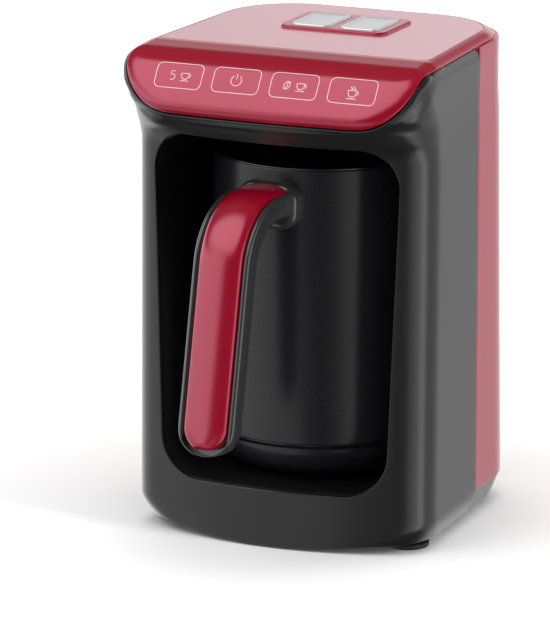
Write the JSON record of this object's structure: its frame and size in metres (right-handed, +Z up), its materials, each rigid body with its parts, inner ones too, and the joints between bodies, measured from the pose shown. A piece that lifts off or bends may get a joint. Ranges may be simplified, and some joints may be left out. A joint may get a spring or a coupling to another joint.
{
  "type": "electric turkish coffee maker",
  "caption": "Countertop electric coffee maker with an open front bay, a pull-out pot with a long bent handle, a sloping front panel and push buttons on top.",
  "frame": {"origin": "centre of the bounding box at the height of the feet's undersides", "axes": "+Z up; +Y to the rear, so the open bay and the handle face -Y; +X to the right as seen from the front"},
  "size_m": [0.1707, 0.2288, 0.2605],
  "materials": {
    "black_body": "semi-gloss moulded plastic",
    "red_gloss": "pearly crimson gloss",
    "pearl_panel": "pale pearly gloss",
    "satin_button": "satin silver",
    "spring_steel": "drawn wire",
    "black_matte": "fine grained moulding",
    "rubber_foot": "matt",
    "screw_steel": "zinc plated",
    "circuit_board": "green laminate",
    "switch_black": "moulded",
    "led_lens": "clear red lens",
    "transformer_yellow": "taped winding",
    "relay_case": "blue case",
    "capacitor_sleeve": "shrink sleeve",
    "ribbon_grey": "flat cable",
    "sensor_window": "dark infrared window",
    "contact_brass": "bright",
    "terminal_white": "moulded",
    "wire_sleeve": "heat resistant sleeve",
    "pot_black": "semi-gloss moulding",
    "cup_steel": "deep drawn",
    "seal_silicone": "red silicone",
    "plate_aluminium": "cast",
    "element_tube": "dark tube",
    "thermostat_metal": "pressed case",
    "handle_black": "semi-gloss moulding"
  },
  "bodies": {
    "machine": {"front_housing": "black_body", "rear_cover": "red_gloss", "hood": "red_gloss", "top_plate": "pearl_panel", "button_bezel": "red_gloss", "button_spring_left": "spring_steel", "button_spring_right": "spring_steel", "bay_liner": "black_matte", "base_plate": "black_body", "feet": "rubber_foot", "base_screws": "screw_steel", "cable_gland": "black_matte", "gland_nut": "black_matte", "control_board": "circuit_board", "tact_switches": "switch_black", "status_leds": "led_lens", "buzzer": "switch_black", "power_board": "circuit_board", "transformer": "transformer_yellow", "relay": "relay_case", "capacitors": "capacitor_sleeve", "board_ribbon": "ribbon_grey", "board_screws": "screw_steel", "sensor_lens": "sensor_window", "sensor_housing": "black_matte", "socket_housing": "black_matte", "socket_contacts": "contact_brass", "terminal_block": "terminal_white", "wire_loom": "wire_sleeve"},
    "pot": {"pot_shell": "pot_black", "pot_cup": "cup_steel", "pot_base": "pot_black", "pot_seal": "seal_silicone", "heating_plate": "plate_aluminium", "heating_element": "element_tube", "thermostat": "thermostat_metal", "pot_connector": "black_matte", "connector_pins": "contact_brass", "handle_frame": "handle_black", "handle_insert": "red_gloss", "handle_screws": "screw_steel"},
    "button_left": {"button_left": "satin_button"},
    "button_right": {"button_right": "satin_button"}
  },
  "joints": [
    {"name": "pot_pull_out", "type": "slide", "parent": "machine", "child": "pot", "axis": [0, -1, 0], "range_m": [0, 0.17]},
    {"name": "button_left_press", "type": "slide", "parent": "machine", "child": "button_left", "axis": [0, 0, -1], "range_m": [0, 0.0015], "stiffness_N_per_m": 500, "springref_m": -0.0015, "deforming": ["button_spring_left"]},
    {"name": "button_right_press", "type": "slide", "parent": "machine", "child": "button_right", "axis": [0, 0, -1], "range_m": [0, 0.0015], "stiffness_N_per_m": 500, "springref_m": -0.0015, "deforming": ["button_spring_right"]}
  ]
}
